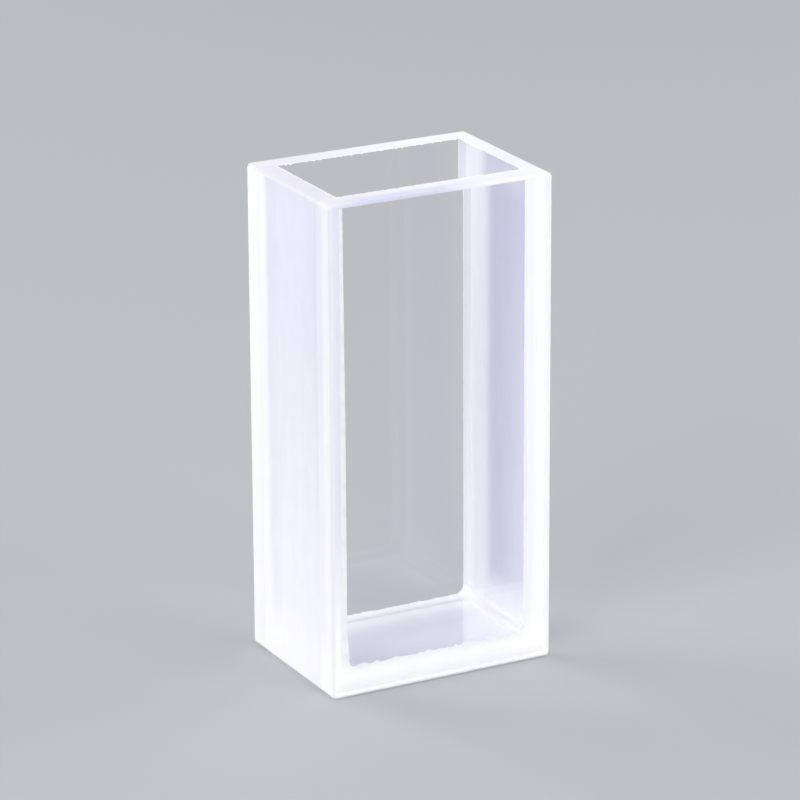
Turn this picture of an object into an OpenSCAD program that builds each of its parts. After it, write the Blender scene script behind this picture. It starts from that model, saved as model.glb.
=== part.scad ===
// Cuvette: a rectangular glass cell, open at the top. A U-shaped frame of ground glass makes the
// two side walls and the base. A clear polished window is fused over its front and another over
// its rear, and all outside edges are then bevelled together.
// Origin at the middle of the underside, +X along the width, +Y through the windows, +Z up.

/* [Cell] */
// Outside width, across both side walls
cell_w = 21.8; // [14:0.1:40]
// Outside depth, through both windows
cell_d = 15.7; // [12:0.1:40]
// Outside height, from the foot to the rim
cell_h = 45; // [25:0.5:80]

/* [Walls] */
// Thickness of the frame's side walls
side_t = 1.9; // [1:0.1:3]
// Thickness of the frame's base
base_t = 2.1; // [1:0.1:4]
// Thickness of each window
window_t = 2.3; // [1:0.1:3]

/* [Edges] */
// Radius of the frame's two inside corners, where the side walls meet the base
corner_r = 1; // [0.3:0.1:2.5]
// Width of the bevel along every outside edge
edge_bevel = 0.3; // [0.1:0.05:0.6]

/* [Hidden] */
inner_w = cell_w - 2 * side_t;
inner_d = cell_d - 2 * window_t;
front_seam_y = -inner_d / 2;
rear_seam_y = inner_d / 2;
over = 1; // how far a cutting solid runs past the face that it cuts
ground_glass = [0.91, 0.91, 0.97];
clear_glass = [0.78, 0.82, 0.92, 0.35];
$fn = 64;

// Corners of a rectangle that is a wide and b high, centred, with its four corners bevelled
function bevelled(a, b) =
    let (x = a / 2, y = b / 2, c = edge_bevel)
    [[x - c, y], [x, y - c], [x, c - y], [x - c, -y], [c - x, -y], [-x, c - y], [-x, y - c], [c - x, y]];

// The whole outside of the cell, with every edge bevelled
module outside() {
    intersection() {
        linear_extrude(height = cell_h) polygon(bevelled(cell_w, cell_d));
        translate([0, 0, cell_h / 2]) rotate([90, 0, 0])
            linear_extrude(height = cell_d, center = true) polygon(bevelled(cell_w, cell_h));
        translate([0, 0, cell_h / 2]) rotate([90, 0, 90])
            linear_extrude(height = cell_w, center = true) polygon(bevelled(cell_d, cell_h));
    }
}

// What lies between two depths of the outside
module slice(from_y, to_y) {
    intersection() {
        outside();
        translate([-cell_w / 2 - over, from_y, -over])
            cube([cell_w + 2 * over, to_y - from_y, cell_h + 2 * over]);
    }
}

// The hollow for the sample, with rounded bottom corners, run past both seams and the rim
module hollow() {
    run = inner_d + 2 * over;
    translate([-inner_w / 2, -run / 2, base_t + corner_r])
        cube([inner_w, run, cell_h]);
    translate([-inner_w / 2 + corner_r, -run / 2, base_t])
        cube([inner_w - 2 * corner_r, run, cell_h]);
    for (side = [-1, 1])
        translate([side * (inner_w / 2 - corner_r), 0, base_t + corner_r])
            rotate([90, 0, 0]) cylinder(h = run, r = corner_r, center = true);
}

module u_frame() {
    color(ground_glass)
        difference() {
            slice(front_seam_y, rear_seam_y);
            hollow();
        }
}

module front_window() {
    color(clear_glass) slice(-cell_d / 2, front_seam_y);
}

module rear_window() {
    color(clear_glass) slice(rear_seam_y, cell_d / 2);
}

u_frame();
front_window();
rear_window();
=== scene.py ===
"""A rectangular glass cuvette: a ground U-shaped frame between two clear polished windows.

Meshes are shaped in millimetres, and each finished mesh is brought to metres. +X runs along the
width, +Y through the windows from front to rear, +Z up.
"""
import logging
import math
import random
from dataclasses import dataclass, replace
from enum import Enum
from typing import Callable, Iterable, Sequence

import bmesh
import bpy
from bmesh.types import BMEdge, BMesh, BMFace, BMVert
from bpy.types import ID, Material, Node, NodeSocket as Socket, NodeTree, Object
from mathutils import Matrix, Vector

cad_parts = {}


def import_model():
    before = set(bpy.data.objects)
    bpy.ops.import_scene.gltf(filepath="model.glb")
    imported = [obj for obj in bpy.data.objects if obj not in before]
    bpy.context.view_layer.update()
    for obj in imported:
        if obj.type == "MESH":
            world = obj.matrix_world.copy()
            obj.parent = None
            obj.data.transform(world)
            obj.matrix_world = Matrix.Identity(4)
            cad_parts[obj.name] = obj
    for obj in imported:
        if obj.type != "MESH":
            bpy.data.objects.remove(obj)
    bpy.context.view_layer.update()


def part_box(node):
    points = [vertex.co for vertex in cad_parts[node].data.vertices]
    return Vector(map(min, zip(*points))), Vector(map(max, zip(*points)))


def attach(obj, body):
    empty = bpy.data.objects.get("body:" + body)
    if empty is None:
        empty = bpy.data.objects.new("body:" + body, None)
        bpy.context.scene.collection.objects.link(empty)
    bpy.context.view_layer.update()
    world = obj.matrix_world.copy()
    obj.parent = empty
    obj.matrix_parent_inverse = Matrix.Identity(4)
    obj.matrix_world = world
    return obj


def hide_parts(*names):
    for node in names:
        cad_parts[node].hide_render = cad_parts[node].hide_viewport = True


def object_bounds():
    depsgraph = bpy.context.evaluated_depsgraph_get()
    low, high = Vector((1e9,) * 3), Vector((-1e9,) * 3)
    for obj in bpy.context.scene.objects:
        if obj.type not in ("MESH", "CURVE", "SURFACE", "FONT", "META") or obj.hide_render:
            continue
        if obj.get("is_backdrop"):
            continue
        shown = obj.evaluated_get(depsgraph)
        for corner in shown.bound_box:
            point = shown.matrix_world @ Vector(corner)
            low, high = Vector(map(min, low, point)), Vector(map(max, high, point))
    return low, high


LOG = logging.getLogger("cuvette")
MM = 0.001
GLASS_IOR = 1.46

Colour = tuple[float, float, float]
Triple = tuple[float, float, float]

# Two places closer than this are the same, in millimetres.
SAME = 1e-4
# A face looks along an axis when its normal has more than this along it.
FLAT = 0.99
# A colour that is multiplied by this stays as it is.
UNCHANGED: Colour = (1.0, 1.0, 1.0)


class Surface(Enum):
    """The finishes that one glass plate can wear, in the order of its material slots."""

    GROUND = 0
    POLISHED = 1
    FUSED = 2
    CORNER = 3


class Side(Enum):
    """Which window of the cell, by the sign of its place along Y."""

    FRONT = -1
    REAR = 1


# --------------------------------------------------------------------------- node helpers


@dataclass
class Nodes:
    """A short way to write a material's nodes.

    Attributes:
        tree: The node tree that the nodes go into.
    """

    tree: NodeTree

    def add(self, kind: str, **inputs: object) -> Node:
        """Adds a node and fills its inputs.

        Args:
            kind: The node's type without its "ShaderNode" start.
            inputs: Values or sockets by the input's name, with spaces written as underscores.

        Returns:
            The new node.
        """
        node = self.tree.nodes.new("ShaderNode" + kind)
        for name, value in inputs.items():
            self.fill(node.inputs[name.replace("_", " ")], value)
        return node

    def fill(self, socket: Socket, value: object) -> None:
        """Sets an input, or links it when the value is an output.

        Args:
            socket: The input.
            value: A number, a colour or another node's output.
        """
        if isinstance(value, Socket):
            self.tree.links.new(value, socket)
        elif isinstance(value, tuple) and len(value) == 3 and socket.type == "RGBA":
            socket.default_value = (*value, 1.0)
        else:
            socket.default_value = value

    def math(self, operation: str, *values: object) -> Socket:
        """Adds a Math node.

        Args:
            operation: The node's operation.
            values: Its numbers or outputs, in order.

        Returns:
            The result.
        """
        node = self.tree.nodes.new("ShaderNodeMath")
        node.operation = operation
        for socket, value in zip(node.inputs, values):
            self.fill(socket, value)
        return node.outputs[0]

    def ramp(self, value: object, start: float, end: float, low: object = 0.0, high: object = 1.0) -> Socket:
        """Adds a smooth step.

        Args:
            value: What runs from start to end.
            start: Where the step begins.
            end: Where the step ends.
            low: The result up to the start.
            high: The result from the end.

        Returns:
            The result.
        """
        node = self.tree.nodes.new("ShaderNodeMapRange")
        node.interpolation_type = "SMOOTHSTEP"
        for socket, number in zip(node.inputs, (value, start, end, low, high)):
            self.fill(socket, number)
        return node.outputs["Result"]

    def half(self, value: Socket) -> Socket:
        """Tells the cell's two halves softly apart: 0 on the negative side and 1 on the other."""
        return self.ramp(value, -1.0, 1.0)

    def spread(self, noise: Socket, low: float, high: float) -> Socket:
        """Spreads a noise, which mostly keeps near 0.5, over a range."""
        return self.ramp(noise, 0.3, 0.7, low, high)

    def apart(self, value: Socket, other: float) -> Socket:
        """Finds how far apart two places are."""
        return self.math("ABSOLUTE", self.math("SUBTRACT", value, other))

    def past(self, value: Socket, size: float) -> Socket:
        """Finds how far a place lies outside of a size on either side of the middle."""
        return self.math("SUBTRACT", self.math("ABSOLUTE", value), size)

    def blend(self, share: object, first: object, second: object, how: str = "MIX") -> Socket:
        """Blends two colours.

        Args:
            share: How much of the second colour, from 0 to 1.
            first: A colour or an output.
            second: A colour or an output.
            how: The node's blend type.

        Returns:
            The blended colour.
        """
        node = self.tree.nodes.new("ShaderNodeMix")
        node.data_type = "RGBA"
        node.blend_type = how
        self.fill(node.inputs["Factor"], share)
        self.fill(node.inputs[6], first)
        self.fill(node.inputs[7], second)
        return node.outputs[2]

    def between(self, share: object, first: object, second: object) -> Socket:
        """Blends two numbers, with a share of the second."""
        return self.math("MULTIPLY_ADD", self.math("SUBTRACT", second, first), share, first)

    def tinted(self, colour: object, tint: object) -> Socket:
        """Multiplies a colour by another colour or by a number."""
        return self.blend(1.0, colour, tint, "MULTIPLY")

    def mixed(self, share: object, first: object, second: object) -> Socket:
        """Mixes two shaders.

        Args:
            share: How much of the second shader, from 0 to 1.
            first: A shader's output.
            second: A shader's output.

        Returns:
            The mixed shader.
        """
        node = self.tree.nodes.new("ShaderNodeMixShader")
        for socket, value in zip(node.inputs, (share, first, second)):
            self.fill(socket, value)
        return node.outputs[0]

    def place(self) -> tuple[Socket, ...]:
        """Reads where a point is on the object.

        Returns:
            The place as a vector in millimetres, and its x, y and z.
        """
        where = self.add("TexCoord").outputs["Object"]
        scale = self.tree.nodes.new("ShaderNodeVectorMath")
        scale.operation = "SCALE"
        self.fill(scale.inputs[0], where)
        scale.inputs["Scale"].default_value = 1.0 / MM
        split = self.add("SeparateXYZ", Vector=scale.outputs[0])
        return scale.outputs[0], split.outputs[0], split.outputs[1], split.outputs[2]

    def stretched(self, vector: Socket, scale: Triple) -> Socket:
        """Scales a place by a factor along each axis."""
        return self.add("Mapping", Vector=vector, Scale=scale).outputs[0]

    def noise(self, vector: Socket, scale: float, detail: float, rough: float) -> Socket:
        """Adds a soft noise.

        Args:
            vector: The place that it reads.
            scale: How many grains go into a millimetre.
            detail: How many finer layers it has.
            rough: How strong the finer layers are.

        Returns:
            The noise, from 0 to 1 and mostly near 0.5.
        """
        node = self.add("TexNoise", Vector=vector, Scale=scale, Detail=detail, Roughness=rough)
        return node.outputs[0]

    def milky(self, colour: object, rough: float, glow: object) -> Socket:
        """Makes white glass.

        Args:
            colour: Its colour.
            rough: How far it scatters its shine.
            glow: How much of the light that meets it goes through it.

        Returns:
            The shader.
        """
        body = self.add("BsdfPrincipled", Base_Color=colour, Roughness=rough, IOR=GLASS_IOR)
        through = self.add("BsdfTranslucent", Color=colour)
        return self.mixed(glow, body.outputs[0], through.outputs[0])

    def past_lamps(self, skin: Socket, share: float) -> Socket:
        """Lets a share of the lamps' light go straight through a ground skin.

        Args:
            skin: The skin's shader.
            share: How much goes through.

        Returns:
            The shader to put on the surface.
        """
        path = self.add("LightPath")
        veil = self.add("BsdfTransparent", Color=(share, share, share)).outputs[0]
        return self.mixed(path.outputs["Is Shadow Ray"], skin, veil)

    def past_glass(self, glass: Socket) -> Socket:
        """Lets lamps and soft light go straight through clear glass.

        Args:
            glass: The glass shader.

        Returns:
            The shader to put on the surface.
        """
        path = self.add("LightPath")
        clear = self.add("BsdfTransparent").outputs[0]
        lamps = self.mixed(path.outputs["Is Shadow Ray"], glass, clear)
        return self.mixed(path.outputs["Is Diffuse Ray"], lamps, clear)


def new_material(name: str, viewport: Colour) -> tuple[Material, Nodes]:
    """Starts a material with no nodes but its output.

    Args:
        name: The material's name.
        viewport: Its plain colour outside of renders.

    Returns:
        The material and its nodes.
    """
    material = bpy.data.materials.new(name)
    material.use_nodes = True
    material.diffuse_color = (*viewport, 1.0)
    material.node_tree.nodes.clear()
    return material, Nodes(material.node_tree)


def show(nodes: Nodes, shader: Socket) -> None:
    """Puts a shader on a material's surface."""
    nodes.add("OutputMaterial", Surface=shader)


@dataclass(frozen=True)
class Spot:
    """A point on a surface, as a finish reads it.

    Attributes:
        where: Its place, in millimetres.
        x: Its place along X.
        y: Its place along Y.
        z: Its height.
        cloud: A soft noise there, from 0 to 1.
    """

    where: Socket
    x: Socket
    y: Socket
    z: Socket
    cloud: Socket

    @classmethod
    def on(cls, n: Nodes, cloud_scale: float) -> "Spot":
        """Reads the point.

        Args:
            n: The material's nodes.
            cloud_scale: How many clouds go into a millimetre.

        Returns:
            The point.
        """
        where, x, y, z = n.place()
        return cls(where, x, y, z, n.noise(where, cloud_scale, 3.0, 0.6))

    def strayed(self, n: Nodes, value: Socket, most: float) -> Socket:
        """Moves a distance with the clouds, by so many millimetres at most."""
        return n.math("ADD", value, n.math("MULTIPLY_ADD", self.cloud, 2 * most, -most))


# --------------------------------------------------------------------------- finishes


@dataclass(frozen=True)
class GroundFinish:
    """Finely ground glass: white with a lavender cast, and a little see-through, its colours carrying
    painted light and shade.

    Attributes:
        box: Half the width, half the depth and the height of the cell, in millimetres.
        hollow: Half the width and half the depth of the hollow, in millimetres.
        upper: Colour of the side walls near the rim.
        lower: Colour of the side walls near the foot, whiter as painted light.
        white: Colour of the painted light on the rear band, the front edges, the foot and under the right
            rim, of the painted highlights round the mouth and on the rim's left edge, and of the seam lines.
        dip: Colour of the painted shade on the walls just before the rear band.
        rim_left: Colour of the rim at the left, darker as painted shade.
        rim_right: Colour of the rim at the right, lighter as painted light.
        cool: Colour of the painted shade on the front rim's outer half, where its rounding turns down.
        past_cool: Colour of the painted shade on the front rim to the right of that.
        within: Painted shade: what the skin's colour is multiplied by when it is met from inside the glass.
        within_band: The same on the white rear band, as painted light.
        within_foot: The same on the foot, as painted shade.
        within_rear: The same along the foot's rear, as painted light.
        within_corner: The same on the foot's front right corner, where the walls' light gathers.
        rough: How far the ground surface scatters its shine.
        rough_play: How much that varies from grain to grain.
        shade: How dark the clouds and draw lines are at most.
        turned: How dark the painted shade on the rim's rounded edge is at the left.
        clear: How much of the light goes through it as through rough glass.
        glow: How much of the rest goes through it as through paper, met from outside.
        rim_glow: The same on the rim.
        inner_glow: The same on the walls, met from inside the glass.
        lamps: How much of the lamps' light goes straight on through the skin.
    """

    box: Triple
    hollow: tuple[float, float]
    upper: Colour = (0.845, 0.835, 0.94)
    lower: Colour = (0.965, 0.96, 0.99)
    white: Colour = (0.975, 0.975, 0.98)
    dip: Colour = (0.66, 0.66, 0.78)
    rim_left: Colour = (0.82, 0.81, 0.875)
    rim_right: Colour = (0.90, 0.895, 0.95)
    cool: Colour = (0.70, 0.72, 0.865)
    past_cool: Colour = (0.855, 0.855, 0.95)
    within: Colour = (0.75, 0.745, 0.83)
    within_band: Colour = (0.975, 0.965, 1.02)
    within_foot: Colour = (0.74, 0.735, 0.825)
    within_rear: Colour = (1.0, 1.0, 1.01)
    within_corner: Colour = (0.87, 0.865, 0.915)
    rough: float = 0.62
    rough_play: float = 0.06
    shade: float = 0.955
    turned: float = 0.9
    clear: float = 0.1
    glow: float = 0.2
    rim_glow: float = 0.05
    inner_glow: float = 0.4
    lamps: float = 0.55

    def rear_band(self, n: Nodes, spot: Spot) -> tuple[Socket, Socket]:
        """Finds the painted light along the rear, a white band wider on the right wall, and the painted
        shade, a dip, before it.

        Args:
            n: The material's nodes.
            spot: The point on the surface.

        Returns:
            The share of the band and the share of the dip.
        """
        half_d = self.box[1]
        right = n.half(spot.x)
        rear = spot.strayed(n, spot.y, 0.3)
        # Painted light: the white rear band, and along the rear of the foot's underside.
        left_band = n.ramp(rear, half_d - 4.3, half_d - 3.2)
        right_band = n.ramp(rear, half_d - 6.7, half_d - 4.1)
        foot_band = n.ramp(spot.y, half_d - 6.5, half_d - 2.3)
        band = n.between(right, left_band, right_band)
        band = n.between(self.underside(n, spot), band, foot_band)
        # Painted shade: the darker dip before the band, deeper on the right wall.
        left_dip = n.ramp(rear, half_d - 6.5, half_d - 4.5, 0.0, 0.16)
        right_dip = n.ramp(rear, half_d - 12.0, half_d - 7.5, 0.0, 0.45)
        return band, n.between(right, left_dip, right_dip)

    def underside(self, n: Nodes, spot: Spot) -> Socket:
        """Finds the skin under the foot, as a share."""
        return n.ramp(spot.z, 0.5, 0.4)

    def foot_zone(self, n: Nodes, spot: Spot) -> Socket:
        """Finds the painted light at the foot of the walls, a paler zone, as a share."""
        return n.ramp(spot.z, 6.6, 3.2, 0.0, 0.9)

    def walls(self, n: Nodes, spot: Spot, band: object, dip: object) -> Socket:
        """Paints the side walls with painted light: whiter to the foot, the rear and the front, with painted
        shade before the rear band and a line at the seams.

        Args:
            n: The material's nodes.
            spot: The point on the surface.
            band: The share of the painted light on the rear band.
            dip: The share of the painted shade, a darker dip, before it.

        Returns:
            The colour.
        """
        half_d, height = self.box[1], self.box[2]
        # Painted light: whiter towards the foot.
        down = n.ramp(spot.strayed(n, spot.z, 5.0), 0.98 * height, 1.0)
        colour = n.blend(down, self.upper, self.lower)
        # Painted shade before the rear band.
        colour = n.blend(dip, colour, self.dip)
        right = n.half(spot.x)
        # Painted light under the right wall's rim and at the foot of the walls.
        under_rim = n.math("MULTIPLY", right, n.ramp(spot.z, height - 4.0, height - 1.0, 0.0, 0.6))
        colour = n.blend(n.math("MAXIMUM", under_rim, self.foot_zone(n, spot)), colour, self.white)
        # Painted light on the rear band and at the right wall's front.
        front_right = n.math("MULTIPLY", right, n.ramp(spot.y, 2.45 - half_d, 2.3 - half_d))
        colour = n.blend(n.math("MAXIMUM", band, front_right), colour, self.white)
        # Painted light along the front.
        front = n.ramp(spot.y, 1.7 - half_d, 1.0 - half_d, 0.0, 0.5)
        colour = n.blend(front, colour, self.white)
        seam = n.ramp(n.apart(n.math("ABSOLUTE", spot.y), self.hollow[1]), 0.05, 0.2, 0.3, 0.0)
        return n.blend(seam, colour, self.white)

    def rim(self, n: Nodes, spot: Spot) -> Socket:
        """Paints the rim: white, with painted shade to the left and along the front, and painted highlights
        as a white line round the mouth and along the left edge.

        Args:
            n: The material's nodes.
            spot: The point on the surface.

        Returns:
            The colour.
        """
        half_w, half_d, height = self.box
        # Painted light and shade: darker at the left, lighter at the right.
        across = n.ramp(spot.x, -0.9 * half_w, 0.5 * half_w)
        colour = n.blend(across, self.rim_left, self.rim_right)
        # Painted shade along the front rim's outer half, where its rounding turns down.
        outer = n.ramp(spot.y, 1.7 - half_d, 0.5 - half_d)
        middle = n.ramp(n.apart(spot.x, -3.0), 7.5, 4.5)
        colour = n.blend(n.math("MULTIPLY", outer, middle), colour, self.cool)
        front = n.ramp(spot.y, 2.6 - half_d, 2.2 - half_d, 0.0, 0.6)
        past_middle = n.ramp(n.apart(spot.x, 4.5), 5.0, 2.5)
        colour = n.blend(n.math("MULTIPLY", front, past_middle), colour, self.past_cool)
        # A white line round the mouth: painted highlight, and the whiter chipped edge.
        off_mouth = n.math("MAXIMUM", n.past(spot.x, self.hollow[0]), n.past(spot.y, self.hollow[1]))
        mouth_line = n.ramp(off_mouth, 0.08, 0.25, 0.7, 0.0)
        colour = n.blend(mouth_line, colour, self.white)
        # Painted highlight along the rim's left outer edge.
        beside = n.ramp(spot.x, 0.4 - half_w, 0.25 - half_w)
        below = n.ramp(spot.z, height - 0.03, height - 0.1)
        left_edge = n.math("MULTIPLY", beside, below)
        colour = n.blend(n.math("MULTIPLY", left_edge, 0.6), colour, self.white)
        # Painted shade on the rim's rounded edge, darker at the left.
        turned = n.ramp(spot.x, -2.0, 4.0, self.turned, 1.0)
        turned = n.between(left_edge, turned, self.turned)
        return n.tinted(colour, n.ramp(spot.z, height - 0.1, height - 0.01, turned, 1.0))

    def veil(self, n: Nodes, spot: Spot, band: object) -> Socket:
        """Finds the painted light and shade on the skin where it is met from inside the glass: what its
        colour is multiplied by there.

        Args:
            n: The material's nodes.
            spot: The point on the surface.
            band: The share of the painted light on the rear band.

        Returns:
            The colour to multiply by.
        """
        # Painted light over the base's right half and on the rear band; painted shade on the rest of the
        # walls.
        over_base = n.math("MULTIPLY", n.half(spot.x), n.ramp(spot.z, 0.8, 1.2, 0.0, 0.75))
        above_foot = n.math("MULTIPLY", self.foot_zone(n, spot), over_base)
        pale = n.math("MAXIMUM", band, above_foot)
        on_walls = n.blend(pale, self.within, self.within_band)
        # Painted light towards the foot's front right corner and along its rear; painted shade on the rest
        # of the foot.
        to_corner = n.math("MULTIPLY_ADD", spot.y, -0.53, spot.x)
        on_base = n.blend(n.ramp(to_corner, 5.2, 6.8), self.within_foot, self.within_corner)
        on_base = n.blend(band, on_base, self.within_rear)
        return n.blend(self.underside(n, spot), on_walls, on_base)

    def material(self, name: str) -> Material:
        """Makes the material.

        Args:
            name: Its name.

        Returns:
            The ground glass.
        """
        material, n = new_material(name, self.upper)
        spot = Spot.on(n, 0.35)
        height = self.box[2]
        band, dip = self.rear_band(n, spot)
        on_rim = n.ramp(spot.z, height - 0.34, height - 0.24)
        colour = n.blend(on_rim, self.walls(n, spot, band, dip), self.rim(n, spot))
        mottle = n.noise(n.stretched(spot.where, (1.0, 1.0, 0.45)), 0.9, 4.0, 0.65)
        grain = n.noise(spot.where, 6.0, 4.0, 0.7)
        lines = n.noise(n.stretched(spot.where, (3.0, 3.0, 0.12)), 0.9, 3.0, 0.6)
        colour = n.tinted(colour, n.spread(n.between(0.4, mottle, lines), self.shade, 1.0))
        relief = n.math("MULTIPLY_ADD", lines, 0.4, grain)
        bump = n.add("Bump", Strength=0.25, Distance=0.00002, Height=relief).outputs[0]
        # Painted light and shade where the skin is met from inside the glass.
        behind = n.add("NewGeometry").outputs["Backfacing"]
        colour = n.tinted(colour, n.blend(behind, UNCHANGED, self.veil(n, spot, band)))
        body = n.add(
            "BsdfPrincipled",
            Base_Color=colour,
            Roughness=n.spread(grain, self.rough - self.rough_play, self.rough + self.rough_play),
            IOR=GLASS_IOR,
            Transmission_Weight=self.clear,
            Normal=bump,
        )
        glow = n.add("BsdfTranslucent", Color=colour, Normal=bump)
        inside = n.ramp(spot.z, 0.4, 0.8, 0.0, self.inner_glow)
        outside = n.between(on_rim, self.glow, self.rim_glow)
        share = n.between(behind, outside, inside)
        skin = n.mixed(share, body.outputs[0], glow.outputs[0])
        show(n, n.past_lamps(skin, self.lamps))
        return material


@dataclass(frozen=True)
class PolishedFinish:
    """Clear polished glass with the faintest wiping haze.

    Attributes:
        tint: What one surface lets through, in each colour.
        haze: The most roughness that wiping has left.
    """

    tint: Colour = (0.985, 0.988, 0.997)
    haze: float = 0.02

    def glass(self, n: Nodes, where: Socket) -> Socket:
        """Makes the clear glass shader.

        Args:
            n: The material's nodes.
            where: The place on the surface, in millimetres.

        Returns:
            The shader.
        """
        smear = n.noise(n.stretched(where, (0.5, 0.5, 0.12)), 1.0, 4.0, 0.6)
        glass = n.add(
            "BsdfPrincipled",
            Base_Color=self.tint,
            Roughness=n.ramp(smear, 0.5, 0.75, 0.0, self.haze),
            IOR=GLASS_IOR,
            Transmission_Weight=1.0,
        )
        return n.past_glass(glass.outputs[0])

    def material(self) -> Material:
        """Makes the material.

        Returns:
            The polished glass.
        """
        material, n = new_material("polished_glass", self.tint)
        show(n, self.glass(n, n.place()[0]))
        return material


@dataclass(frozen=True)
class CornerFinish:
    """The hollow's two rounded bottom corners, where a painted highlight, a milky line, fades into the
    polish.

    Attributes:
        point: Where the wall and the base would meet in a sharp corner, along X and up Z, in millimetres.
        near: Up to how far from there the painted highlight is at its strongest, in millimetres.
        far: How far from there it ends, in millimetres.
        colour: Colour of the painted highlight's milky line.
        most: How much the painted highlight covers the glass at the line's middle.
        glow: How much of the light that meets the painted highlight goes through it.
        stray: How far the clouds move the line's edge, in millimetres.
    """

    point: tuple[float, float]
    near: float
    far: float
    colour: Colour = (0.93, 0.93, 0.95)
    most: float = 0.45
    glow: float = 0.5
    stray: float = 0.1

    def material(self) -> Material:
        """Makes the material.

        Returns:
            The corner's glass.
        """
        material, n = new_material("soft_corner", self.colour)
        spot = Spot.on(n, 0.8)
        across = n.past(spot.x, self.point[0])
        up = n.math("SUBTRACT", spot.z, self.point[1])
        squares = n.math("MULTIPLY_ADD", across, across, n.math("MULTIPLY", up, up))
        off = spot.strayed(n, n.math("SQRT", squares), self.stray)
        # Painted highlight: a milky line along the middle of the rounded corner.
        share = n.ramp(off, self.near, self.far, self.most, 0.0)
        painted_glint = n.milky(self.colour, rough=0.4, glow=self.glow)
        show(n, n.mixed(share, PolishedFinish().glass(n, spot.where), painted_glint))
        return material


@dataclass(frozen=True)
class FusedFinish:
    """The frame's two end faces, ground white before a window was fused over each, with painted light and
    shade.

    Attributes:
        colour: Its colour on the right wall.
        base: Its colour on the base.
        base_low: Its colour at the base's lower edge, darker as painted shade.
        left_foot: Its colour low on the left wall.
        cool: Its colour up the left wall, with more lavender, as painted shade.
        inside: Painted shade: what its colour is multiplied by when it is met from inside the frame, near
            the rim.
        inside_low: The same low on the walls, and at the base's lower edge, a lighter painted shade.
        inside_base: The same at the base's upper edge, at the rear, as painted light brighter than the
            face's own colour.
        inner_glow: How much light goes through it, met from inside the frame.
        streak: How dark its streaks are at most.
    """

    colour: Colour = (0.955, 0.955, 0.955)
    base: Colour = (0.97, 0.97, 0.96)
    base_low: Colour = (0.80, 0.80, 0.805)
    left_foot: Colour = (0.975, 0.975, 0.975)
    cool: Colour = (0.81, 0.81, 0.865)
    inside: Colour = (0.79, 0.78, 0.84)
    inside_low: Colour = (0.945, 0.93, 0.98)
    inside_base: Colour = (1.07, 1.07, 1.08)
    inner_glow: float = 0.75
    streak: float = 0.975

    def material(self) -> Material:
        """Makes the material.

        Returns:
            The fused end.
        """
        material, n = new_material("fused_end", self.colour)
        where, x, y, z = n.place()
        # Painted shade: more lavender up the left wall, most at its outer edge.
        up_wall = n.ramp(z, 3.0, 18.0)
        outwards = n.ramp(x, -9.0, -9.5, 0.8, 1.0)
        left = n.blend(n.math("MULTIPLY", up_wall, outwards), self.left_foot, self.cool)
        on_left = n.ramp(x, -6.0, -9.0)
        colour = n.blend(on_left, self.colour, left)
        # Painted shade at the base's lower edge.
        up_base = n.ramp(z, 0.1, 1.4)
        on_base = n.ramp(z, 4.5, 2.0)
        colour = n.blend(on_base, colour, n.blend(up_base, self.base_low, self.base))
        streaks = n.noise(n.stretched(where, (4.0, 1.0, 0.2)), 0.8, 3.0, 0.6)
        colour = n.tinted(colour, n.spread(streaks, self.streak, 1.0))
        # Painted light and shade where the face is met from inside the frame.
        behind = n.add("NewGeometry").outputs["Backfacing"]
        base_top = n.math("MULTIPLY", n.ramp(z, 3.2, 2.1), n.ramp(z, 0.0, 1.8))
        rear_top = n.math("MULTIPLY", base_top, n.half(y))
        up = n.ramp(z, 6.0, 44.0)
        veil = n.blend(rear_top, n.blend(up, self.inside_low, self.inside), self.inside_base)
        colour = n.tinted(colour, n.blend(behind, UNCHANGED, veil))
        show(n, n.milky(colour, rough=0.6, glow=n.math("MULTIPLY", behind, self.inner_glow)))
        return material


@dataclass(frozen=True)
class BeadFinish:
    """The hair-thin fused bead in the corners of the hollow, milky and smooth.

    Attributes:
        colour: Its colour.
        shade: Its colour where it is clearer.
        glow: How much of the light goes through it.
    """

    colour: Colour = (0.99, 0.99, 0.99)
    shade: Colour = (0.93, 0.93, 0.97)
    glow: float = 0.1

    def material(self) -> Material:
        """Makes the material.

        Returns:
            The bead's glass.
        """
        material, n = new_material("fused_bead", self.colour)
        spot = Spot.on(n, 1.2)
        colour = n.blend(n.ramp(spot.cloud, 0.45, 0.7), self.colour, self.shade)
        show(n, n.milky(colour, rough=0.3, glow=self.glow))
        return material


# --------------------------------------------------------------------------- shapes


@dataclass(frozen=True)
class CellSizes:
    """The cell's sizes, in millimetres.

    Attributes:
        width: Outside width, across both side walls.
        depth: Outside depth, through both windows.
        height: Outside height.
        window: Thickness of each window.
        side: Thickness of the frame's side walls.
        base: Thickness of the frame's base.
        corner: Radius of the hollow's two bottom corners.
        corner_fade: How far the corners' painted highlight fades past them.
        post: Radius of the long outside edges that run from front to rear.
        edge: Rounding of the edges round the front and rear faces.
        seam_gap: The hair's width between the frame's ends and the windows.
    """

    width: float
    depth: float
    height: float
    window: float
    side: float = 1.9
    base: float = 2.1
    corner: float = 1.0
    corner_fade: float = 0.6
    post: float = 0.4
    edge: float = 0.3
    seam_gap: float = 0.01

    @classmethod
    def from_frame(cls) -> "CellSizes":
        """Reads the outside sizes and the windows' thickness from the CAD frame."""
        low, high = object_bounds()
        pane_low, pane_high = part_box("front_window")
        outside = (high - low) / MM
        return cls(*outside, window=(pane_high.y - pane_low.y) / MM)

    @property
    def inner_width(self) -> float:
        """Width of the hollow."""
        return self.width - 2 * self.side

    @property
    def seam_y(self) -> float:
        """How far each seam lies from the middle plane."""
        return self.depth / 2 - self.window


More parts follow.
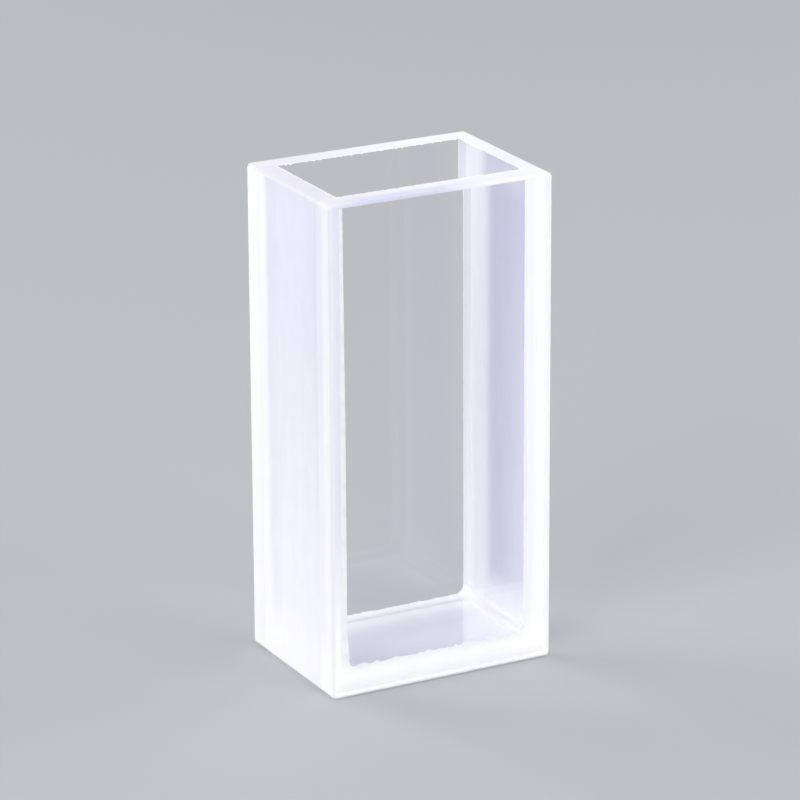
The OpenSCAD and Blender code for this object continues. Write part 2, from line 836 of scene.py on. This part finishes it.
def rounded(
    bm: BMesh, parts: Iterable[BMVert | BMEdge], radius: float, segments: int, kind: str = "VERTICES"
) -> None:
    """Rounds corners of a flat outline, or edges of a body.

    Args:
        bm: The mesh.
        parts: The corner points or the edges.
        radius: The rounding's radius.
        segments: How many straight pieces the rounding has.
        kind: Which of the two the parts are, as the bevel calls it.
    """
    bmesh.ops.bevel(
        bm,
        geom=list(parts),
        offset=radius,
        offset_type="OFFSET",
        segments=segments,
        profile=0.5,
        affect=kind,
        material=-1,
    )


def section(bm: BMesh, sizes: CellSizes, y: float) -> tuple[BMFace, BMFace]:
    """Draws the cell's upright section, with its round corners.

    Args:
        bm: An empty mesh.
        sizes: The cell's sizes.
        y: Where the section stands along Y.

    Returns:
        The face of the U-shaped frame, and the face of the hollow that it holds.
    """
    x_out, x_in, top = sizes.width / 2, sizes.inner_width / 2, sizes.height
    outline = [(-x_out, 0), (x_out, 0), (x_out, top), (x_in, top)]
    outline += [(x_in, sizes.base), (-x_in, sizes.base), (-x_in, top), (-x_out, top)]
    ring = [bm.verts.new((x, y, z)) for x, z in outline]
    bm.faces.new(ring)
    bm.faces.new([ring[5], ring[4], ring[3], ring[6]])
    rounded(bm, (ring[4], ring[5]), sizes.corner, 12)
    at_side = [v for v in bm.verts if abs(v.co.x) > x_out - SAME]
    rounded(bm, [v for v in at_side if v.co.z < SAME or v.co.z > top - SAME], sizes.post, 5)
    by_area = sorted(bm.faces, key=lambda f: f.calc_area())
    return by_area[0], by_area[-1]


def pushed(bm: BMesh, faces: Sequence[BMFace], run: float) -> None:
    """Extrudes flat faces along Y into a closed body.

    Args:
        bm: The mesh.
        faces: The faces.
        run: How far, with its sign.
    """
    made = bmesh.ops.extrude_face_region(bm, geom=list(faces))["geom"]
    moved = [v for v in made if isinstance(v, BMVert)]
    bmesh.ops.translate(bm, vec=(0, run, 0), verts=moved)
    bmesh.ops.recalc_face_normals(bm, faces=bm.faces[:])


@dataclass(frozen=True)
class Nicks:
    """The small scoops that chipping has taken out of the mouth's edges.

    Attributes:
        sizes: The cell's sizes.
        counts: How many lie along the front, the rear, the left and the right edge.
        radii: The smallest and the largest scoop's radius, in millimetres.
        seed: Seed of their places and sizes.
    """

    sizes: CellSizes
    counts: tuple[int, ...] = (16, 18, 6, 7)
    radii: tuple[float, float] = (0.05, 0.13)
    seed: int = 11

    def cutter(self) -> Object:
        """Makes the scoops.

        Returns:
            One object that holds them all, in millimetres.
        """
        draw = random.Random(self.seed)
        bm = bmesh.new()
        x, y, top = self.sizes.inner_width / 2, self.sizes.seam_y, self.sizes.height
        edges = [((-x, -y), (x, -y)), ((-x, y), (x, y)), ((-x, -y), (-x, y)), ((x, -y), (x, y))]
        for ((x0, y0), (x1, y1)), count in zip(edges, self.counts):
            for k in range(count):
                t = (k + draw.uniform(0.15, 0.85)) / count
                place = Vector((x0 + (x1 - x0) * t, y0 + (y1 - y0) * t, top))
                radius = draw.uniform(*self.radii)
                shape = Matrix.Diagonal((radius * draw.uniform(0.8, 2.0), radius, radius * 0.8, 1.0))
                if x0 == x1:
                    shape = Matrix.Rotation(math.pi / 2, 4, "Z") @ shape
                scoop = Matrix.Translation(place) @ shape
                bmesh.ops.create_icosphere(bm, subdivisions=2, radius=1.0, matrix=scoop)
        return object_from(bm, "nicks")


def placed(name: str, data: ID) -> Object:
    """Puts a new object in the scene.

    Args:
        name: The object's name.
        data: Its mesh, curve, lamp or camera.

    Returns:
        The object.
    """
    thing = bpy.data.objects.new(name, data)
    bpy.context.scene.collection.objects.link(thing)
    return thing


def nicked(piece: Object, cutter: Object) -> None:
    """Cuts the scoops out of a piece, for good.

    Args:
        piece: The piece, still in millimetres.
        cutter: The scoops.
    """
    cut = piece.modifiers.new("nicks", "BOOLEAN")
    cut.operation = "DIFFERENCE"
    cut.solver = "EXACT"
    cut.object = cutter
    graph = bpy.context.evaluated_depsgraph_get()
    mesh = bpy.data.meshes.new_from_object(piece.evaluated_get(graph))
    piece.modifiers.clear()
    old = piece.data
    mesh.name = old.name
    piece.data = mesh
    bpy.data.meshes.remove(old)


def object_from(bm: BMesh, name: str) -> Object:
    """Turns a mesh in the making into an object.

    Args:
        bm: The mesh, which is freed.
        name: The object's name.

    Returns:
        The object, still in millimetres.
    """
    mesh = bpy.data.meshes.new(name)
    bm.to_mesh(mesh)
    bm.free()
    return placed(name, mesh)


def finished(piece: Object, sharp: float = 35.0) -> None:
    """Brings a piece to metres and shades its roundings smooth and its corners sharp.

    Args:
        piece: The piece.
        sharp: From which angle an edge is sharp, in degrees.
    """
    piece.data.transform(Matrix.Scale(MM, 4))
    piece.data.polygons.foreach_set("use_smooth", [True] * len(piece.data.polygons))
    piece.data.set_sharp_from_angle(angle=math.radians(sharp))
    even = piece.modifiers.new("even_shading", "WEIGHTED_NORMAL")
    even.keep_sharp = True


@dataclass
class Palette:
    """The materials that the cell's pieces share.

    Attributes:
        sizes: The cell's sizes.
        frame_skins: The frame's finishes, in the order of Surface.
        pane_skins: A window's finishes, in the order of Surface.
        bead: The fused bead's finish.
    """

    sizes: CellSizes
    frame_skins: Sequence[Material] = ()
    pane_skins: Sequence[Material] = ()
    bead: Material | None = None

    def mix(self) -> None:
        """Makes every material once."""
        s = self.sizes
        box = (s.width / 2, s.depth / 2, s.height)
        ground = GroundFinish(box=box, hollow=(s.inner_width / 2, s.seam_y))
        # The windows' ground edges, with their own colours for the painted light and shade.
        pane_edge = replace(
            ground,
            upper=(0.80, 0.795, 0.885),
            lower=(0.905, 0.90, 0.935),
            within=(0.98, 0.98, 0.98),
            within_band=(0.98, 0.98, 0.98),
            within_foot=(0.88, 0.88, 0.88),
            clear=0.02,
            glow=0.05,
            inner_glow=0.3,
            lamps=0.7,
        )
        polished = PolishedFinish().material()
        sharp_corner = (s.inner_width / 2, s.base)
        fade_end = s.corner + s.corner_fade - CornerFinish.stray
        corner = CornerFinish(sharp_corner, 0.5 * s.corner, fade_end).material()
        self.frame_skins = [ground.material("ground_wall"), polished, FusedFinish().material(), corner]
        self.pane_skins = [pane_edge.material("ground_pane_edge"), polished]
        self.bead = BeadFinish().material()

    def dress(
        self,
        piece: Object,
        skins: Sequence[Material],
        surface_of: Callable[[Vector, Vector, Vector], Surface],
    ) -> None:
        """Gives each face of a plate its finish.

        Args:
            piece: The plate, still in millimetres.
            skins: The finishes, in the order of Surface.
            surface_of: Names the finish from a face's lowest and highest corner and its normal.
        """
        piece.data.materials.clear()
        for skin in skins:
            piece.data.materials.append(skin)
        for face in piece.data.polygons:
            corners = [piece.data.vertices[v].co for v in face.vertices]
            low = Vector(map(min, zip(*corners)))
            high = Vector(map(max, zip(*corners)))
            face.material_index = surface_of(low, high, face.normal).value


@dataclass
class GroundFrame:
    """The U-shaped frame: two side walls and the base, ground outside and polished inside.

    Attributes:
        sizes: The cell's sizes.
        piece: The finished object.
    """

    sizes: CellSizes
    piece: Object | None = None

    def build(self, cutter: Object) -> None:
        """Models the frame.

        Args:
            cutter: The scoops to take out of its edges.
        """
        bm = bmesh.new()
        reach = self.sizes.seam_y - self.sizes.seam_gap
        frame, hollow = section(bm, self.sizes, -reach)
        bmesh.ops.delete(bm, geom=[hollow], context="FACES_ONLY")
        pushed(bm, [frame], 2 * reach)
        x_fade, z_fade = self.fade_ends()
        cuts = [((x_fade, 0, 0), (1, 0, 0)), ((-x_fade, 0, 0), (1, 0, 0)), ((0, 0, z_fade), (0, 0, 1))]
        for place, across in cuts:
            geometry = bm.verts[:] + bm.edges[:] + bm.faces[:]
            bmesh.ops.bisect_plane(bm, geom=geometry, dist=1e-5, plane_co=place, plane_no=across)
        self.piece = object_from(bm, "ground_frame")
        nicked(self.piece, cutter)

    def fade_ends(self) -> tuple[float, float]:
        """Finds where the corners' painted highlight ends, along X on the floor and up Z on the walls."""
        s = self.sizes
        reach = s.corner + s.corner_fade
        return s.inner_width / 2 - reach, s.base + reach

    def surface_of(self, low: Vector, high: Vector, normal: Vector) -> Surface:
        """Names a face's finish.

        Args:
            low: The face's lowest corner.
            high: The face's highest corner.
            normal: The face's normal.

        Returns:
            The finish.
        """
        s = self.sizes
        slack = 10 * SAME
        if abs(normal.y) > FLAT and abs(abs(low.y) - s.seam_y) < 2 * s.seam_gap:
            return Surface.FUSED
        inside = max(-low.x, high.x) < s.inner_width / 2 + slack and low.z > s.base - slack
        under_rim = low.z < s.height - 0.2
        if inside and under_rim:
            x_fade, z_fade = self.fade_ends()
            beside = max(low.x, -high.x) > x_fade - slack
            return Surface.CORNER if beside and high.z < z_fade + slack else Surface.POLISHED
        return Surface.GROUND

    def dress(self, palette: Palette) -> None:
        """Gives the frame its finishes and its place in the model.

        Args:
            palette: The shared materials.
        """
        palette.dress(self.piece, palette.frame_skins, self.surface_of)
        finished(self.piece)
        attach(self.piece, "root")
        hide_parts("u_frame")


@dataclass
class Window:
    """One clear window, polished on both faces and ground round its edge.

    Attributes:
        sizes: The cell's sizes.
        side: Which window it is.
        piece: The finished object.
    """

    sizes: CellSizes
    side: Side
    piece: Object | None = None

    def build(self, cutter: Object) -> None:
        """Models the window.

        Args:
            cutter: The scoops to take out of its edges.
        """
        s = self.sizes
        bm = bmesh.new()
        seam = self.side.value * s.seam_y
        outside = self.side.value * s.depth / 2
        faces = section(bm, s, seam)
        bmesh.ops.dissolve_faces(bm, faces=list(faces), use_verts=True)
        pushed(bm, bm.faces[:], outside - seam)
        outer = [f for f in bm.faces if abs(f.calc_center_median().y - outside) < SAME]
        rounded(bm, outer[0].edges, s.edge, 4, "EDGES")
        bmesh.ops.recalc_face_normals(bm, faces=bm.faces[:])
        self.piece = object_from(bm, self.side.name.lower() + "_pane")
        nicked(self.piece, cutter)

    def surface_of(self, low: Vector, high: Vector, normal: Vector) -> Surface:
        """Names a face's finish from its normal; its lowest and highest corner are not used."""
        return Surface.POLISHED if abs(normal.y) > FLAT else Surface.GROUND

    def dress(self, palette: Palette) -> None:
        """Gives the window its finishes and its place in the model.

        Args:
            palette: The shared materials.
        """
        palette.dress(self.piece, palette.pane_skins, self.surface_of)
        finished(self.piece)
        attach(self.piece, "root")
        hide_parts(self.side.name.lower() + "_window")


def grown(value: float, start: float, full: float) -> float:
    """Grows evenly from 0 at the start to 1 where it is full."""
    return min(1.0, max(0.0, (value - start) / (full - start)))


@dataclass
class SeamBead:
    """The fused bead in the corner between a window and the frame, round the hollow.

    Attributes:
        sizes: The cell's sizes.
        side: Which window it runs along.
        radius: The bead's radius at a share of 1, in millimetres.
        step: How far apart its stations lie, in millimetres.
        lump: How many stations lie from one lump to the next.
        below_rim: How far below the rim it ends, in millimetres.
        rear_most: The rear one's greatest share along the base.
        calm: The least share up the walls.
        play: What the lumps add to it.
        left: What the front one gains up the left wall.
        left_low: What it gains there besides, growing over left_span.
        left_foot: What it gains at the left wall's foot besides.
        right_foot: What it gains at the right wall's foot.
        left_span: The heights where left_low starts and where it is full, in millimetres.
        foot: The height where the gains at the foot start, in millimetres.
        seed: Seed of the lumps.
        piece: The finished object.
    """

    sizes: CellSizes
    side: Side
    radius: float = 0.3
    step: float = 0.12
    lump: int = 3
    below_rim: float = 0.08
    rear_most: float = 0.4
    calm: float = 0.14
    play: float = 0.08
    left: float = 0.3
    left_low: float = 0.35
    left_foot: float = 1.1
    right_foot: float = 0.4
    left_span: tuple[float, float] = (42.0, 25.0)
    foot: float = 7.0
    seed: int = 23
    piece: Object | None = None

    def route(self) -> list[Vector]:
        """Lays the bead's middle line down one wall, across the base and up the other.

        Returns:
            Its points, from the left rim to the right rim.
        """
        s = self.sizes
        x_in, y = s.inner_width / 2, self.side.value * s.seam_y
        low = s.base + s.corner
        drop = [Vector((-x_in, y, s.height - self.below_rim)), Vector((-x_in, y, low))]
        turn = [math.radians(a) for a in range(15, 90, 15)]
        middle = -x_in + s.corner
        arc = [Vector((middle - s.corner * math.cos(a), y, low - s.corner * math.sin(a))) for a in turn]
        left = drop + arc + [Vector((middle, y, s.base))]
        whole = left + [Vector((-p.x, p.y, p.z)) for p in reversed(left)]
        points = [whole[0]]
        for here, there in zip(whole, whole[1:]):
            cuts = max(1, round((there - here).length / self.step))
            points += [here.lerp(there, k / cuts) for k in range(1, cuts + 1)]
        return points

    def thickness(self, route: Sequence[Vector]) -> list[float]:
        """Draws how thick the bead is along its way: ragged along the base, fine up the walls.

        Args:
            route: The bead's middle line.

        Returns:
            A share of its radius for each point.
        """
        draw = random.Random(self.seed + self.side.value)
        front = self.side is Side.FRONT
        base = self.sizes.base
        most = 1.0 if front else self.rear_most
        lumps = [draw.random() for _ in range(len(route) // self.lump + 2)]
        shares = []
        for k, place in enumerate(route):
            whole, part = divmod(k, self.lump)
            ease = (1 - math.cos(math.pi * part / self.lump)) / 2
            uneven = lumps[whole] + (lumps[whole + 1] - lumps[whole]) * ease
            ragged = most * (0.2 + 0.8 * uneven**1.5)
            calm = self.calm + self.play * uneven
            down = grown(place.z, self.foot, base) ** 2
            if front and place.x < 0:
                calm += self.left + self.left_low * grown(place.z, *self.left_span) + self.left_foot * down
            elif front:
                calm += self.right_foot * down
            up_wall = grown(place.z, base, base + self.sizes.corner)
            shares.append(ragged + (calm - ragged) * up_wall)
        return shares

    def build(self) -> None:
        """Models the bead as a round strand of uneven thickness, flat against the window."""
        curve = bpy.data.curves.new("bead", "CURVE")
        curve.dimensions = "3D"
        curve.bevel_depth = self.radius
        curve.bevel_resolution = 3
        curve.use_fill_caps = True
        route = self.route()
        line = curve.splines.new("POLY")
        line.points.add(len(route) - 1)
        for point, place, share in zip(line.points, route, self.thickness(route)):
            point.co = (*place, 1.0)
            point.radius = share
        strand = placed("bead", curve)
        graph = bpy.context.evaluated_depsgraph_get()
        mesh = bpy.data.meshes.new_from_object(strand.evaluated_get(graph))
        bpy.data.objects.remove(strand)
        bpy.data.curves.remove(curve)
        bm = bmesh.new()
        bm.from_mesh(mesh)
        bpy.data.meshes.remove(mesh)
        bmesh.ops.remove_doubles(bm, verts=bm.verts[:], dist=SAME)
        glued = self.sizes.seam_y - self.sizes.seam_gap / 2
        for vert in bm.verts:
            vert.co.y = self.side.value * min(self.side.value * vert.co.y, glued)
        bmesh.ops.recalc_face_normals(bm, faces=bm.faces[:])
        self.piece = object_from(bm, self.side.name.lower() + "_seam_bead")

    def dress(self, palette: Palette) -> None:
        """Gives the bead its finish and its place in the model.

        Args:
            palette: The shared materials.
        """
        self.piece.data.materials.clear()
        self.piece.data.materials.append(palette.bead)
        finished(self.piece)
        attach(self.piece, "root")


# --------------------------------------------------------------------------- the studio


@dataclass(frozen=True)
class SoftBox:
    """One soft lamp.

    Attributes:
        name: The lamp's name.
        place: Where it hangs, in metres.
        power: Its power in watts.
        size: Its width and height, in metres.
        mirrored: Whether polished glass shows it, by its mirror or through it.
        aim: The point that it faces, in metres.
    """

    name: str
    place: Triple
    power: float
    size: float = 0.45
    mirrored: bool = True
    aim: Triple = (0.0, 0.0, 0.02)

    def hang(self) -> None:
        """Hangs the lamp."""
        data = bpy.data.lights.new(self.name, "AREA")
        data.shape = "SQUARE"
        data.size = self.size
        data.energy = self.power
        lamp = placed(self.name, data)
        lamp.visible_glossy = self.mirrored
        lamp.visible_transmission = self.mirrored
        lamp.location = self.place
        facing = Vector(self.aim) - Vector(self.place)
        lamp.rotation_euler = facing.to_track_quat("-Z", "Y").to_euler()


@dataclass(frozen=True)
class Studio:
    """The pale floor, the soft light and the camera.

    Attributes:
        floor_colour: The floor's colour.
        backdrop: What the camera, glass and gloss see past the floor.
        ambient: The soft light from all round.
        floor_radius: Radius of the floor, in metres.
        floor_gap: How far the floor lies under the cell's foot, in metres.
        lamps: The soft boxes.
        camera_place: Where the camera stands, in metres.
        camera_forward: Which way it looks.
        camera_tilt: How far it leans to one side, in degrees.
        lens: Its focal length, in millimetres, on a sensor 36 mm wide.
    """

    floor_colour: Colour = (0.44, 0.445, 0.465)
    backdrop: Colour = (0.47, 0.475, 0.495)
    ambient: Colour = (0.35, 0.35, 0.36)
    floor_radius: float = 1.5
    floor_gap: float = 0.00006
    lamps: tuple[SoftBox, ...] = (
        SoftBox("key", (-0.60, -0.30, 0.40), 3.26),
        SoftBox("fill", (0.35, -0.60, 0.30), 2.12, mirrored=False),
        SoftBox("side", (0.60, -0.10, 0.30), 1.94),
        SoftBox("top", (0.0, 0.0, 0.80), 0.61, size=0.40),
        SoftBox("rear", (-0.35, 0.60, 0.35), 3.26, mirrored=False),
    )
    camera_place: Triple = (-0.17767, -0.33423, 0.15296)
    camera_forward: Triple = (0.4441965, 0.8355835, -0.3232378)
    camera_tilt: float = -0.294
    lens: float = 203.8

    def floor(self) -> None:
        """Lays the floor."""
        bm = bmesh.new()
        bmesh.ops.create_circle(bm, cap_ends=True, segments=96, radius=self.floor_radius)
        bmesh.ops.translate(bm, vec=(0, 0, -self.floor_gap), verts=bm.verts[:])
        piece = object_from(bm, "floor")
        material, n = new_material("pale_floor", self.floor_colour)
        body = n.add("BsdfPrincipled", Base_Color=self.floor_colour, Roughness=0.85)
        body.inputs["Specular IOR Level"].default_value = 0.15
        show(n, body.outputs[0])
        piece.data.materials.append(material)
        piece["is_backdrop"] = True

    def world(self) -> None:
        """Sets the light from all round, and the plain backdrop."""
        world = bpy.data.worlds.new("soft_room")
        bpy.context.scene.world = world
        world.use_nodes = True
        world.node_tree.nodes.clear()
        n = Nodes(world.node_tree)
        path = n.add("LightPath")
        seen = n.math("MAXIMUM", path.outputs["Is Camera Ray"], path.outputs["Is Glossy Ray"])
        seen = n.math("MAXIMUM", seen, path.outputs["Is Transmission Ray"])
        colour = n.blend(seen, self.ambient, self.backdrop)
        light = n.add("Background", Color=colour, Strength=1.0)
        n.add("OutputWorld", Surface=light.outputs[0])

    def camera(self) -> None:
        """Sets up the camera."""
        data = bpy.data.cameras.new("camera")
        data.sensor_width = 36.0
        data.lens = self.lens
        data.clip_start = 0.01
        camera = placed("camera", data)
        forward = Vector(self.camera_forward).normalized()
        tilt = math.radians(self.camera_tilt)
        level = forward.cross(Vector((0, 0, 1))).normalized()
        up = level.cross(forward)
        right = level * math.cos(tilt) + up * math.sin(tilt)
        up = right.cross(forward)
        turn = Matrix((right, up, -forward)).transposed()
        camera.matrix_world = Matrix.Translation(self.camera_place) @ turn.to_4x4()
        bpy.context.scene.camera = camera

    def set_up(self) -> None:
        """Sets up the whole studio."""
        self.floor()
        self.world()
        for lamp in self.lamps:
            lamp.hang()
        self.camera()
        bpy.context.scene.view_settings.view_transform = "Standard"


def main() -> None:
    """Builds the cuvette piece by piece and sets up the studio."""
    logging.basicConfig(level=logging.INFO, format="%(name)s: %(message)s")
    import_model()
    sizes = CellSizes.from_frame()
    palette = Palette(sizes)
    palette.mix()
    cutter = Nicks(sizes).cutter()
    parts: list[GroundFrame | Window] = [
        GroundFrame(sizes),
        Window(sizes, Side.FRONT),
        Window(sizes, Side.REAR),
    ]
    for part in parts:
        part.build(cutter)
        part.dress(palette)
        LOG.info("%s: %d faces", part.piece.name, len(part.piece.data.polygons))
    bpy.data.objects.remove(cutter)
    for side in Side:
        bead = SeamBead(sizes, side)
        bead.build()
        bead.dress(palette)
        LOG.info("%s: %d faces", bead.piece.name, len(bead.piece.data.polygons))
    Studio().set_up()


if __name__ == "__main__":
    main()
